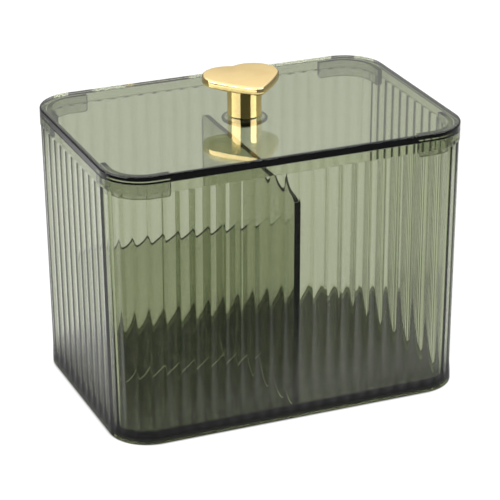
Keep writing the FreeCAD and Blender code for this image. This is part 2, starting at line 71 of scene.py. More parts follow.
# %% [markdown]
# The frame gives each node's box, so the large sizes are read and not typed. What a box can't say, such as
# a corner's radius or the depth of a flute, is a named value in millimetres, turned to metres where used.

# %% Sizes from the frame
tub_low, tub_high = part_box("tub")
stem_low, stem_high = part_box("knob_stem")
heart_low, heart_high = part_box("knob_heart")
washer_low, washer_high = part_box("knob_washer")
screw_low, screw_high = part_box("knob_screw")

LENGTH = tub_high.x - tub_low.x
WIDTH = tub_high.y - tub_low.y
RIM = tub_high.z
LID_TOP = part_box("lid")[1].z
KNOB_AXIS = (stem_low + stem_high) / 2
CORNER_RADIUS = 16.0 * MM
WALL = 2.4 * MM
LEAN = 1.4 * MM
BAND_BOTTOM = RIM - 3.6 * MM
INNER_X = LENGTH / 2 - CORNER_RADIUS
INNER_Y = WIDTH / 2 - CORNER_RADIUS
print(f"tub {LENGTH:.4f} by {WIDTH:.4f} m, rim at {RIM:.4f} m, lid's top at {LID_TOP:.4f} m")

# %% [markdown]
# The camera stands a little to the left of the front and looks down on the lid. A long lens keeps the
# uprights almost parallel. The roll is a third of a degree, because the picture is not quite level.

# %% Camera
AZIMUTH = math.radians(-22.38)
ELEVATION = math.radians(23.0)
ROLL = math.radians(-0.34)
DISTANCE = 935.4 * MM
LENS = 176.0
AIM_HEIGHT = 50.0 * MM
AIM_RIGHT = 0.38 * MM
AIM_UP = -0.1 * MM


def make_camera():
    back = Vector((
        math.sin(AZIMUTH) * math.cos(ELEVATION),
        -math.cos(AZIMUTH) * math.cos(ELEVATION),
        math.sin(ELEVATION),
    ))
    level = Vector((math.cos(AZIMUTH), math.sin(AZIMUTH), 0.0))
    upright = back.cross(level)
    right = level * math.cos(ROLL) + upright * math.sin(ROLL)
    up = upright * math.cos(ROLL) - level * math.sin(ROLL)
    aim = Vector((0.0, 0.0, AIM_HEIGHT)) + right * AIM_RIGHT + up * AIM_UP
    data = bpy.data.cameras.new("camera")
    data.lens = LENS
    data.sensor_width = 36.0
    camera = bpy.data.objects.new("camera", data)
    turn = Matrix((right, up, back)).transposed().to_4x4()
    camera.matrix_world = Matrix.Translation(aim + back * DISTANCE) @ turn
    bpy.context.scene.collection.objects.link(camera)
    bpy.context.scene.camera = camera
    return camera


camera = make_camera()
print("camera at", [round(value, 4) for value in camera.matrix_world.translation])

# %% [markdown]
# Shader maths reads best as Python. This class wraps one output socket: a sum or a product of two of them,
# or of one and a number on either side, adds the Math node it needs. Every other kind of node comes from its
# node method, which takes the node's settings first and then the values or links of its sockets.

# %% A class for shader sockets
class Shade:
    """One output socket of a node tree, ready to be written in an expression."""

    def __init__(self, tree, socket=None):
        self.tree = tree
        self.socket = socket

    def node(self, kind, settings=None, sockets=None, output=0):
        made = self.tree.nodes.new(kind)
        for name, value in (settings or {}).items():
            if name == "stops":
                set_stops(made.color_ramp, value)
            else:
                setattr(made, name, value)
        for name, value in (sockets or {}).items():
            if isinstance(value, Shade):
                self.tree.links.new(value.socket, made.inputs[name])
            else:
                made.inputs[name].default_value = value
        return Shade(self.tree, made.outputs[output])

    def math(self, operation, first, second=0.0):
        return self.node("ShaderNodeMath", {"operation": operation}, {0: first, 1: second})

    def __add__(self, other):
        return self.math("ADD", self, other)

    __radd__ = __add__

    def __mul__(self, other):
        return self.math("MULTIPLY", self, other)

    __rmul__ = __mul__

    def __sub__(self, other):
        return self.math("SUBTRACT", self, other)

    def __rsub__(self, other):
        return self.math("SUBTRACT", other, self)

    def __lt__(self, other):
        return self.math("LESS_THAN", self, other)

    def __gt__(self, other):
        return self.math("GREATER_THAN", self, other)

    def most(self, other):
        return self.math("MAXIMUM", self, other)


def set_stops(ramp, stops):
    """Give a colour ramp its stops, each a place and a colour."""
    while len(ramp.elements) < len(stops):
        ramp.elements.new(1.0)
    for element, (place, colour) in zip(ramp.elements, stops):
        element.position = place
        element.color = colour


def new_material(name):
    """An empty material, its output node and a Shade to start expressions from."""
    material = bpy.data.materials.new(name)
    material.use_nodes = True
    material.node_tree.nodes.clear()
    output = material.node_tree.nodes.new("ShaderNodeOutputMaterial")
    return material, output, Shade(material.node_tree)


def connect(tree, shade, target):
    tree.links.new(shade.socket, target)


def smooth_range(value, low, high, at_low, at_high):
    """A value eased from one level to another while it goes from low to high."""
    return value.node("ShaderNodeMapRange", {"interpolation_type": "SMOOTHSTEP"}, {
        "Value": value, "From Min": low, "From Max": high, "To Min": at_low, "To Max": at_high,
    })


print("shader class ready")

# %% [markdown]
# Tinted clear plastic gets its colour from the depth of material that the light crosses: a wall seen
# square on is pale, and an edge seen end on is almost black. A surface colour can't do that, so the surface
# stays clear and Volume Absorption fills the solid. Its colour is what a long path leaves, and the lid's
# density is chosen so that three millimetres of it let about two thirds of the light through. The tub's
# walls are thinner and look just as deep in colour, so their density is higher.
#
# The gloss of a moulding is never perfect, so a faint swell goes to the bump and a little haze to the
# roughness. Two pieces also get painted shade in the base colour: the lid's tabs are painted darker than its
# plate, and the clear washer gets a painted dark rim for the shade of its rounded edge, so it shows as a ring.

# %% Tinted plastic
TINT = (0.44, 0.49, 0.26, 1.0)
PLASTIC_IOR = 1.5
TUB_DENSITY = 440.0
LID_DENSITY = 250.0
SWELL_SCALE = 60.0
HAZE_SCALE = 900.0
HAZE = 0.016
GLOSS = 0.002
# Painted shade: how much darker the lid's tabs are painted.
TAB_SHADE = 0.8
# Painted shade: how dark the washer's rim is painted.
RIM_SHADE = 0.12
CLEAR_WHITE = (1.0, 1.0, 1.0, 1.0)


def plain_tone(place):
    return CLEAR_WHITE


def painted_tab_shade(place):
    """Painted shade: darker below the plate's underside, where the lid has only its tabs."""
    height = place.node("ShaderNodeSeparateXYZ", sockets={"Vector": place}, output="Z")
    return smooth_range(height, RIM - 0.3 * MM, RIM - 0.1 * MM, TAB_SHADE, 1.0)


def painted_rim_shade(place):
    """Painted shade: clear near the post and dark along the washer's rim, for the shade of its rounded edge."""
    rim = (washer_high.x - washer_low.x) / 2
    beside = place.node("ShaderNodeVectorMath", {"operation": "SUBTRACT"}, {0: place, 1: KNOB_AXIS})
    level = place.node("ShaderNodeVectorMath", {"operation": "MULTIPLY"}, {0: beside, 1: (1.0, 1.0, 0.0)})
    away = place.node("ShaderNodeVectorMath", {"operation": "LENGTH"}, {0: level}, "Value")
    return smooth_range(away, rim - 1.2 * MM, rim - 0.8 * MM, 1.0, RIM_SHADE)


def plastic(name, density, swell=0.02 * MM, tone=plain_tone):
    """Clear plastic that absorbs by depth, with a swell that lifts its surface by a little."""
    material, output, start = new_material(name)
    place = start.node("ShaderNodeTexCoord", output="Object")
    slow = start.node("ShaderNodeTexNoise", sockets={"Vector": place, "Scale": SWELL_SCALE, "Detail": 1.0})
    fine = start.node("ShaderNodeTexNoise", sockets={"Vector": place, "Scale": HAZE_SCALE, "Detail": 3.0})
    bump = start.node("ShaderNodeBump", sockets={"Strength": 1.0, "Distance": swell, "Height": slow})
    surface = start.node("ShaderNodeBsdfPrincipled", sockets={
        "Base Color": tone(place),
        "Roughness": fine * HAZE + GLOSS,
        "IOR": PLASTIC_IOR,
        "Transmission Weight": 1.0,
        "Normal": bump,
    })
    depth = start.node("ShaderNodeVolumeAbsorption", sockets={"Color": TINT, "Density": density})
    connect(material.node_tree, surface, output.inputs["Surface"])
    connect(material.node_tree, depth, output.inputs["Volume"])
    return material


tub_plastic = plastic("tub_plastic", TUB_DENSITY)
lid_plastic = plastic("lid_plastic", LID_DENSITY, swell=0.01 * MM, tone=painted_tab_shade)
divider_plastic = plastic("divider_plastic", TUB_DENSITY)
washer_plastic = plastic("washer_plastic", TUB_DENSITY, tone=painted_rim_shade)
print("plastics:", [m.name for m in (tub_plastic, lid_plastic, divider_plastic, washer_plastic)])

# %% [markdown]
# The knob is plated metal, polished but handled: a warm gold that deepens a touch in slow clouds, with
# fine polishing lines that only show as a break in the gloss. Faces that look straight up are satin, so the
# heart's top stays an even gold. The hidden screw is plain plated steel.

# %% Metals
CLOUD_SCALE = 120.0
LINE_SCALE = 2500.0
LEVEL = (0.8, 1.0)


def metal(name, bright, deep, shine, wear, satin=0.0):
    """Plating between two tones, with a gloss that fine lines break and that level faces may lose."""
    material, output, start = new_material(name)
    place = start.node("ShaderNodeTexCoord", output="Object")
    clouds = start.node("ShaderNodeTexNoise", sockets={"Vector": place, "Scale": CLOUD_SCALE, "Detail": 2.0})
    tone = start.node("ShaderNodeValToRGB", {"stops": ((0.3, deep), (0.7, bright))}, {"Fac": clouds})
    lines = start.node("ShaderNodeTexNoise", sockets={"Vector": place, "Scale": LINE_SCALE, "Detail": 4.0})
    facing = start.node("ShaderNodeNewGeometry", output="Normal")
    upward = start.node("ShaderNodeSeparateXYZ", sockets={"Vector": facing}, output="Z")
    gloss = lines * wear + shine + smooth_range(upward, *LEVEL, 0.0, satin)
    bump = start.node("ShaderNodeBump", sockets={"Strength": 0.15, "Distance": 0.01 * MM, "Height": lines})
    surface = start.node("ShaderNodeBsdfPrincipled", sockets={
        "Base Color": tone,
        "Metallic": 1.0,
        "Roughness": gloss,
        "Normal": bump,
    })
    connect(material.node_tree, surface, output.inputs["Surface"])
    return material


gold = metal(
    "gold_plate", (0.90, 0.70, 0.33, 1.0), (0.85, 0.64, 0.29, 1.0), shine=0.02, wear=0.05, satin=0.36)
steel = metal("screw_steel", (0.62, 0.62, 0.60, 1.0), (0.52, 0.52, 0.50, 1.0), shine=0.12, wear=0.15)
print("metals:", gold.name, steel.name)

# %% [markdown]
# Every new piece ends the same way: its normals are turned outwards, its faces are shaded smooth with
# sharp creases where the surface really turns, and it takes over a node of the frame, with that node's
# body and finish.

# %% Finish a piece
SHARP = math.radians(32.0)


def finish_piece(bm, name, node, material, sharp=SHARP):
    """The piece made from a bmesh, in the place of a node of the frame."""
    bmesh.ops.recalc_face_normals(bm, faces=bm.faces)
    for face in bm.faces:
        face.smooth = True
    for edge in bm.edges:
        edge.smooth = edge.is_manifold and edge.calc_face_angle(0.0) < sharp
    mesh = bpy.data.meshes.new(name)
    bm.to_mesh(mesh)
    bm.free()
    mesh.materials.append(material)
    piece = bpy.data.objects.new(name, mesh)
    bpy.context.scene.collection.objects.link(piece)
    original = frame["nodes"][node]
    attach(piece, original["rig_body"])
    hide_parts(node)
    print(f"{name}: {len(mesh.vertices)} vertices, {len(mesh.polygons)} faces")
    return piece


def heading(angle):
    """The level direction at an angle from +X."""
    return Vector((math.cos(angle), math.sin(angle), 0.0))


def vertices_of(geometry):
    return [item for item in geometry if isinstance(item, bmesh.types.BMVert)]


def edges_of(geometry):
    return [item for item in geometry if isinstance(item, bmesh.types.BMEdge)]


# %% [markdown]
# The tub and the lid are rounded rectangles carried through a profile. The profile is a list of places, each
# a distance from the corner centres and a height. A ring of points stands on the first place, and each next
# ring is extruded from the last one. A plain box with a bump map would look right from the front and go flat
# at its outline, where the flutes must bite into the edge.
#
# Smooth shading blends the normals of neighbours, so a wide flat face next to a small round would look
# bowed. A guard ring right beside every round takes that blend, and the flat face stays flat.

# %% Rings and rounds
ROUND_STEPS = 6
GUARD = 0.04 * MM


def rounded(corner, before, after, size):
    """A quarter round at a corner of a profile, between the way in and the way out, with its two guards."""
    corner, before, after = Vector(corner), Vector(before), Vector(after)
    places = [corner - before * (size + GUARD)]
    for step in range(ROUND_STEPS + 1):
        angle = math.pi / 2 * step / ROUND_STEPS
        inward = before * (size * (1.0 - math.sin(angle)))
        places.append(corner - inward + after * (size * (1.0 - math.cos(angle))))
    return places + [corner + after * (size + GUARD)]


def closed_loop(bm, points):
    """A closed loop of edges through the points. The dictionary drops doubles and keeps the order."""
    made = bmesh.ops.create_circle(bm, cap_ends=False, radius=1.0, segments=len(points))["verts"]
    for vertex, point in zip(made, points):
        vertex.co = point
    return made, list(dict.fromkeys(edge for vertex in made for edge in vertex.link_edges))


def extrude_loop(bm, loop, move):
    """The loop that an extrusion makes, each of its points set by move."""
    grown = bmesh.ops.extrude_edge_only(bm, edges=loop)["geom"]
    fresh = set(vertices_of(grown))
    for vertex in fresh:
        vertex.co = move(vertex)
    return [edge for edge in edges_of(grown) if set(edge.verts) <= fresh]


def cap(bm, loop):
    bmesh.ops.contextual_create(bm, geom=loop)


def round_off(bm, edges, size, segments=ROUND_STEPS):
    bmesh.ops.bevel(
        bm, geom=edges, offset=size, affect="EDGES", segments=segments, profile=0.5, material=-1)


def fill_between(bm, loops):
    """A flat face with holes, as triangles between an outer loop and the loops inside it."""
    edges = [edge for loop in loops for edge in loop]
    bmesh.ops.triangle_fill(bm, use_beauty=True, use_dissolve=False, edges=edges)


def carry(bm, rows, columns, place):
    """A ring of points carried through the rows, and the two loops of edges that it ends with."""
    number = bm.verts.layers.int.new("column")
    made, first = closed_loop(bm, [place(rows[0], column) for column in columns])
    for index, vertex in enumerate(made):
        vertex[number] = index
    last = first
    for row in rows[1:]:
        last = extrude_loop(bm, last, lambda vertex: place(row, columns[vertex[number]]))
    return first, last


print(f"{ROUND_STEPS} steps in a quarter round")

# %% [markdown]
# A column says where one point of a ring stands. The flutes are the cut of a round cutter that leans with
# the wall, and half a flute, from its middle to the ridge beside it, is the unit that repeats. Each corner
# holds nine halves: it starts with a flute's middle on the end of the long wall and ends on a ridge where
# the short wall begins. Five points share out one half, and the last two of them mark the crisp ridge.
#
# The short walls get shallower flutes. They are seen at a low angle, and there a deep flute turns into a
# wide dark stripe, while a shallow one leaves a thin line on its ridge.

# %% Columns round the tub
LONG_PITCH = 5.75 * MM
SHORT_PITCH = 6.45 * MM
LAND = 0.3 * MM
LONG_DEPTH = 0.55 * MM
SHORT_DEPTH = 0.33 * MM
FLUTE_POINTS = 4
CORNERS = ((INNER_X, -INNER_Y), (INNER_X, INNER_Y), (-INNER_X, INNER_Y), (-INNER_X, -INNER_Y))


def half_flutes():
    """The way round as half flutes: start, way along the wall, direction, turn, pitch and depth."""
    turns = 2 * round(math.pi / 2 * CORNER_RADIUS / LONG_PITCH - 0.5) + 1
    turn = math.pi / 2 / turns
    halves = []
    for index, corner in enumerate(CORNERS):
        start = Vector((*corner, 0.0))
        following = Vector((*CORNERS[(index + 1) % 4], 0.0))
        facing = math.pi / 2 * index
        for number in range(turns):
            angle = facing - math.pi / 2 + number * turn
            halves.append((start, Vector(), angle, turn, LONG_PITCH, LONG_DEPTH))
        pitch, depth = (LONG_PITCH, LONG_DEPTH) if index % 2 else (SHORT_PITCH, SHORT_DEPTH)
        count = 2 * round((following - start).length / pitch)
        way = (following - start) / count
        for number in range(count):
            halves.append((start + way * number, way, facing, 0.0, pitch, depth))
    return halves


def cut_edge(cutter, half_width, turn, depth):
    """How far from a flute's middle its cut ends: a length on a flat wall, an angle round a corner."""
    if not turn:
        return half_width
    radius = CORNER_RADIUS - LEAN / 2
    reach = radius + cutter - depth
    return math.acos((reach ** 2 + radius ** 2 - cutter ** 2) / (2 * reach * radius))


def fluted_columns():
    """For every point of a ring: its centre, direction, way from the middle, cutter, depth and kind."""
    columns = []
    for number, (start, way, angle, turn, pitch, depth) in enumerate(half_flutes()):
        half_width = (pitch - LAND) / 2
        cutter = (half_width ** 2 + depth ** 2) / (2 * depth)
        span = turn or way.length
        edge = cut_edge(cutter, half_width, turn, depth) / span
        shares = [edge * point / FLUTE_POINTS for point in range(FLUTE_POINTS + 1)]
        if number % 2:
            shares = [1.0] + shares[:0:-1]
        for share in shares:
            place = 1.0 - share if number % 2 else share
            facing = angle + turn * place
            centre = start + way * place
            columns.append((centre, heading(facing), share * span, cutter, depth, bool(turn)))
    return columns


FLUTED = fluted_columns()
print(f"{len(half_flutes()) // 2} flutes, {len(FLUTED)} columns")

# %% [markdown]
# The cutter runs out at both ends, so its radius falls there. At the top the groove ends in a small arch
# under the smooth band. At the foot it fades out over five millimetres, so the thick floor behind it shows
# as one dark band. On a straight wall the depth follows from a circle and a chord, and round a corner from
# two circles.

# %% Depth of a flute
RUN_OUT = 0.4 * MM
FOOT_RUN_OUT = 5.0 * MM
FLUTE_TOP = BAND_BOTTOM - 0.2 * MM
FLUTE_FOOT = 2.0 * MM


def flute_depth(column, radius, height):
    away, full, depth, in_corner = column[2:]
    share = max(0.0, min(1.0, (height - FLUTE_FOOT) / FOOT_RUN_OUT, (FLUTE_TOP - height) / RUN_OUT))
    cutter = full - depth * (1.0 - share)
    stand_off = full - depth
    if not in_corner:
        return max(0.0, math.sqrt(max(0.0, cutter ** 2 - away ** 2)) - stand_off)
    reach = radius + stand_off
    half_chord = cutter ** 2 - (reach * math.sin(away)) ** 2
    if half_chord <= 0.0:
        return 0.0
    return max(0.0, radius - reach * math.cos(away) + math.sqrt(half_chord))


def tub_point(row, column):
    """Where a point of a row and a column stands: only the fluted rows, with a third entry, are cut."""
    radius, height = row[:2]
    cut = flute_depth(column, radius, height) if len(row) == 3 else 0.0
    return column[0] + column[1] * (radius - cut) + Vector((0.0, 0.0, height))


print("deepest cut:", round(flute_depth(FLUTED[0], CORNER_RADIUS, RIM / 2) / MM, 3), "mm")

# %% [markdown]
# The tub's profile starts in the recess under the foot. It goes out round the foot, up the fluted wall, over
# the rim, down the plain inside and across the floor. The fluted wall stands a quarter of a millimetre inside
# the band, and that step grows over the run-out at the foot, because a ledge there would catch the light.
#
# The rim stops a hair below the lid and the well is a hair wider than the dividers: between two clear solids
# that truly touch, a ray can't tell where it is.

# %% Profile of the tub
SEAT_GAP = 0.05 * MM
FOOT_RIM = 3.0 * MM
FOOT_RECESS = 1.5 * MM
FOOT_ROUND = 0.6 * MM
FLOOR_TOP = 4.0 * MM
WELL_ROUND = 1.2 * MM
RIM_ROUND = 0.12 * MM
RUN_OUT_STEPS = 4
LEDGE = 0.25 * MM
OUT = Vector((1.0, 0.0))
UP = Vector((0.0, 1.0))
WALL_WAY = Vector((LEAN, BAND_BOTTOM)).normalized()


def tub_rows():
    """The places of the profile. The rows marked as fluted are the ones that the cutter reaches."""
    foot = CORNER_RADIUS - LEAN
    top = RIM - SEAT_GAP
    floor = FLOOR_TOP - SEAT_GAP
    well = CORNER_RADIUS - WALL + SEAT_GAP
    well_foot = well - LEAN * (top - floor) / BAND_BOTTOM
    rows = [(foot - FOOT_RIM, FOOT_RECESS), (foot - FOOT_RIM, 0.0)]
    rows += rounded((foot, 0.0), OUT, WALL_WAY, FOOT_ROUND)
    steps = [step / RUN_OUT_STEPS for step in range(RUN_OUT_STEPS + 1)]
    for step in steps:
        height = FLUTE_FOOT + FOOT_RUN_OUT * step
        rows.append((foot + LEAN * height / BAND_BOTTOM - LEDGE * step, height, "fluted"))
    # The upper run-out has a guard row just below it, so its arches stay crisp.
    for step in [-GUARD / RUN_OUT] + steps:
        height = FLUTE_TOP - RUN_OUT * (1.0 - step)
        rows.append((foot + LEAN * height / BAND_BOTTOM - LEDGE, height, "fluted"))
    rows += [(CORNER_RADIUS, FLUTE_TOP + LEDGE / 2), (CORNER_RADIUS, BAND_BOTTOM)]
    rows += rounded((CORNER_RADIUS, top), UP, -OUT, RIM_ROUND)
    rows += rounded((well, top), -OUT, -WALL_WAY, RIM_ROUND)
    rows += rounded((well_foot, floor), -WALL_WAY, -OUT, WELL_ROUND)
    return rows


def make_tub():
    bm = bmesh.new()
    recess, floor = carry(bm, tub_rows(), FLUTED, tub_point)
    cap(bm, recess)
    cap(bm, floor)
    return finish_piece(bm, "tub_shell", "tub", tub_plastic)


make_tub()

# %% [markdown]
# The lid takes the same way with plain corners. Its underside is a flat face with five holes in it: one for
# the screw, and one for each corner tab. A tab is grown down out of its hole, so the plate and its tabs are
# one skin. A tab that only touched the plate would show a false inner surface in clear plastic.

# %% Lid
LID_ROUND = 0.7 * MM
LID_BEVEL = 0.12 * MM
CORNER_STEPS = 20
HOLE_RADIUS = 2.2 * MM
HOLE_STEPS = 32
TAB_OUTER = CORNER_RADIUS - WALL - 0.4 * MM
TAB_THICKNESS = 1.8 * MM
TAB_REACH = 6.0 * MM
TAB_DEPTH = 6.5 * MM
TAB_ROUND = 1.2 * MM


def plain_columns():
    columns = []
    for index, corner in enumerate(CORNERS):
        for step in range(CORNER_STEPS + 1):
            angle = math.pi / 2 * (index - 1 + step / CORNER_STEPS)
            columns.append((Vector((*corner, 0.0)), heading(angle)))
    return columns


def circle_points(centre, radius, height, steps):
    start = Vector((centre.x, centre.y, height))
    return [start + heading(math.tau * step / steps) * radius for step in range(steps)]


def tab_points(index):
    """The outline of a corner tab: a bent strip of two arcs, each with a straight leg at both ends."""
    start = math.pi / 2 * (index - 1)
    first = heading(start)
    last = Vector((-math.sin(start), math.cos(start), 0.0))
    centre = Vector((*CORNERS[index], RIM))
    ways = [heading(start + math.pi / 2 * step / CORNER_STEPS) for step in range(CORNER_STEPS + 1)]
    inner = TAB_OUTER - TAB_THICKNESS
    outward = [centre + first * TAB_OUTER - last * TAB_REACH]
    outward += [centre + way * TAB_OUTER for way in ways]
    outward += [centre + last * TAB_OUTER - first * TAB_REACH]
    inward = [centre + last * inner - first * TAB_REACH]
    inward += [centre + way * inner for way in reversed(ways)]
    inward += [centre + first * inner - last * TAB_REACH]
    return outward + inward


def grow_tab(bm, loop):
    """A tab grown down from its outline, with the lower corners of its two ends rounded."""
    low = extrude_loop(bm, loop, lambda vertex: vertex.co - Vector((0.0, 0.0, TAB_DEPTH)))
    cap(bm, low)
    ends = [edge for edge in low if abs(edge.calc_length() - TAB_THICKNESS) < GUARD]
    round_off(bm, ends, TAB_ROUND)


def make_lid():
    bm = bmesh.new()
    rows = [(CORNER_RADIUS - LID_BEVEL, RIM), (CORNER_RADIUS, RIM + LID_BEVEL)]
    rows += rounded((CORNER_RADIUS, LID_TOP), UP, -OUT, LID_ROUND)
    under, upper = carry(bm, rows, plain_columns(), tub_point)
    hole = closed_loop(bm, circle_points(KNOB_AXIS, HOLE_RADIUS, RIM, HOLE_STEPS))[1]
    hole_top = extrude_loop(bm, hole, lambda vertex: Vector((*vertex.co.xy, LID_TOP)))
    tabs = [closed_loop(bm, tab_points(index))[1] for index in range(len(CORNERS))]
    for tab in tabs:
        grow_tab(bm, tab)
    fill_between(bm, [under, hole] + tabs)
    fill_between(bm, [upper, hole_top])
    return finish_piece(bm, "lid_plate", "lid", lid_plastic)


make_lid()

# %% [markdown]
# The dividers are plain plates, and the frame's own meshes give them their leaning ends and round shoulders.
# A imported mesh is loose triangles, so a copy is merged, its flat faces are joined, and the edges that a mould
# never leaves sharp are bevelled by a tenth of a millimetre.

# %% Dividers
PLATE_BEVEL = 0.12 * MM
CREASE = math.radians(12.0)


def plate_from_frame(name, node, trim=None):
    """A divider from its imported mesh, pulled back a hair where it would touch the other one."""
    bm = bmesh.new()
    bm.from_mesh(frame["nodes"][node].data)
    bmesh.ops.remove_doubles(bm, verts=bm.verts, dist=0.002 * MM)
    bmesh.ops.dissolve_limit(bm, angle_limit=math.radians(0.5), verts=bm.verts, edges=bm.edges)
    for vertex in bm.verts:
        if trim and vertex.co.x > trim:
            vertex.co.x -= SEAT_GAP
    keen = [edge for edge in bm.edges if edge.calc_face_angle(0.0) > 2 * SHARP]
    round_off(bm, keen, PLATE_BEVEL, segments=2)
    return finish_piece(bm, name, node, divider_plastic, CREASE)


plate_from_frame("main_plate", "main_divider")
plate_from_frame("cross_plate", "cross_divider", trim=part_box("cross_divider")[1].x - SEAT_GAP)

# %% [markdown]
# The post, the washer and the screw are turned parts, so each is a half profile spun once round the knob's
# axis. The spin merges its last step with its first one, and points on the axis are merged after it.

# %% Turned pieces
SPIN_STEPS = 72
POST_RADIUS = 6.4 * MM
POST_BEVEL = 0.3 * MM
SPIGOT_RADIUS = 3.0 * MM
BORE_RADIUS = 2.05 * MM
BORE_DEPTH = 8.2 * MM
WASHER_ROUND = 0.4 * MM


def spin(bm, profile, ring=False):
    """A profile of distances from the knob's axis and heights, spun once round that axis."""
    points = [Vector((KNOB_AXIS.x + radius, KNOB_AXIS.y, height)) for radius, height in profile]
    made, edges = closed_loop(bm, points)
    if not ring:
        closing = [edge for edge in edges if set(edge.verts) == {made[0], made[-1]}]
        bmesh.ops.delete(bm, geom=closing, context="EDGES")
        edges = [edge for edge in edges if edge.is_valid]
    centre = Vector((*KNOB_AXIS.xy, 0.0))
    bmesh.ops.spin(
        bm, geom=made + edges, cent=centre, axis=(0.0, 0.0, 1.0), angle=math.tau, steps=SPIN_STEPS,
        use_merge=True)
    bmesh.ops.remove_doubles(bm, verts=bm.verts, dist=0.001 * MM)


def make_post():
    foot = LID_TOP + SEAT_GAP / 2
    shoulder = heart_low.z
    profile = [(0.0, LID_TOP + BORE_DEPTH), (BORE_RADIUS, LID_TOP + BORE_DEPTH), (BORE_RADIUS, foot)]
    profile += rounded((POST_RADIUS, foot), OUT, UP, POST_BEVEL)
    profile += [(POST_RADIUS, shoulder), (SPIGOT_RADIUS, shoulder)]
    profile += [(SPIGOT_RADIUS, stem_high.z), (0.0, stem_high.z)]
    bm = bmesh.new()
    spin(bm, profile)
    return finish_piece(bm, "post", "knob_stem", gold)


def make_washer():
    outer = (washer_high.x - washer_low.x) / 2
    low, high = washer_low.z, washer_high.z - SEAT_GAP
    profile = [(HOLE_RADIUS, high), (HOLE_RADIUS, low)]
    profile += rounded((outer, low), OUT, UP, WASHER_ROUND) + rounded((outer, high), UP, -OUT, WASHER_ROUND)
    bm = bmesh.new()
    spin(bm, profile, ring=True)
    return finish_piece(bm, "washer_ring", "knob_washer", washer_plastic)


make_post()
make_washer()

# %% [markdown]
# The screw's head hides under the lid until the lid is lifted, and then its cross is what makes it read as a
# screw. The cross is an outline inside the head's flat end: the flat is filled between the two loops, and
# the recess grows down from the inner one and narrows on its way.

# %% Screw
HEAD_ROUND = 1.1 * MM
SHANK_RADIUS = 1.95 * MM
CROSS_REACH = 1.9 * MM
CROSS_HALF = 0.42 * MM
CROSS_DEPTH = 1.3 * MM
CROSS_TAPER = 0.6


def cross_points(height):
    """The twelve corners of a cross about the knob's axis."""
    points = []
    for quarter in range(4):
        turn = Matrix.Rotation(math.pi / 2 * quarter, 2)
        for corner in ((CROSS_REACH, -CROSS_HALF), (CROSS_REACH, CROSS_HALF), (CROSS_HALF, CROSS_HALF)):
            points.append(Vector((*(KNOB_AXIS.xy + turn @ Vector(corner)), height)))
    return points


def make_screw():
    seat = washer_low.z - SEAT_GAP
    low = screw_low.z
    head = (screw_high.x - screw_low.x) / 2
    profile = rounded((head, low), OUT, UP, HEAD_ROUND)
    profile += [(head, seat), (SHANK_RADIUS, seat), (SHANK_RADIUS, screw_high.z), (0.0, screw_high.z)]
    bm = bmesh.new()
    spin(bm, profile)
    rim = [edge for edge in bm.edges if edge.is_boundary]
    cross = closed_loop(bm, cross_points(low))[1]
    centre = KNOB_AXIS.xy

    def inward(vertex):
        return Vector((*(centre + (vertex.co.xy - centre) * CROSS_TAPER), low + CROSS_DEPTH))

    bottom = extrude_loop(bm, cross, inward)
    cap(bm, bottom)
    fill_between(bm, [rim, cross])
    return finish_piece(bm, "screw_body", "knob_screw", steel)


make_screw()

# %% [markdown]
# The heart is drawn with three kinds of arc: two lobes, a small round notch between them, and two flanks of
# a very large radius that touch the lobes and run to a blunt tip. Its upper edge is polished round, and
# that round catches the lamps, so it is a real bevel of six steps. The lower edge is only eased.

# %% Heart
LOBE_RADIUS = 9.8 * MM
LOBE_SIDE = 4.95 * MM
LOBE_BACK = 3.7 * MM
TIP_REACH = 18.8 * MM
TIP_HALF = 1.35 * MM
FLANK_RADIUS = 75.0 * MM
NOTCH_RADIUS = 2.0 * MM
HEART_ROUND = 0.9 * MM
HEART_UNDER = 0.5 * MM
ARC_STEPS = 24


def arc_points(centre, radius, start, end):
    angles = [start + (end - start) * step / ARC_STEPS for step in range(ARC_STEPS + 1)]
    return [centre + Vector((math.cos(angle), math.sin(angle))) * radius for angle in angles]


def bearing(start, end):
    way = end - start
    return math.atan2(way.y, way.x)


def heart_points(height):
    """The outline of the heart, from the right corner of its tip round to the left one."""
    lobe = Vector((LOBE_SIDE, LOBE_BACK))
    tip = Vector((TIP_HALF, LOBE_BACK - TIP_REACH))
    notch = Vector((0.0, LOBE_BACK + math.sqrt((LOBE_RADIUS + NOTCH_RADIUS) ** 2 - LOBE_SIDE ** 2)))
    span = lobe - tip
    along = (FLANK_RADIUS ** 2 - (FLANK_RADIUS - LOBE_RADIUS) ** 2 + span.length_squared) / (2 * span.length)
    aside = math.sqrt(FLANK_RADIUS ** 2 - along ** 2)
    run = span.normalized()
    flank = tip + run * along + Vector((-run.y, run.x)) * aside
    touch, crest = bearing(flank, lobe), bearing(lobe, notch)
    right = arc_points(flank, FLANK_RADIUS, bearing(flank, tip), touch)[:-1]
    right += arc_points(lobe, LOBE_RADIUS, touch, crest)[:-1]
    right += arc_points(notch, NOTCH_RADIUS, crest - math.pi, -math.pi / 2)
    left = [Vector((-point.x, point.y)) for point in reversed(right[:-1])]
    return [Vector((*(KNOB_AXIS.xy + point), height)) for point in right + left]


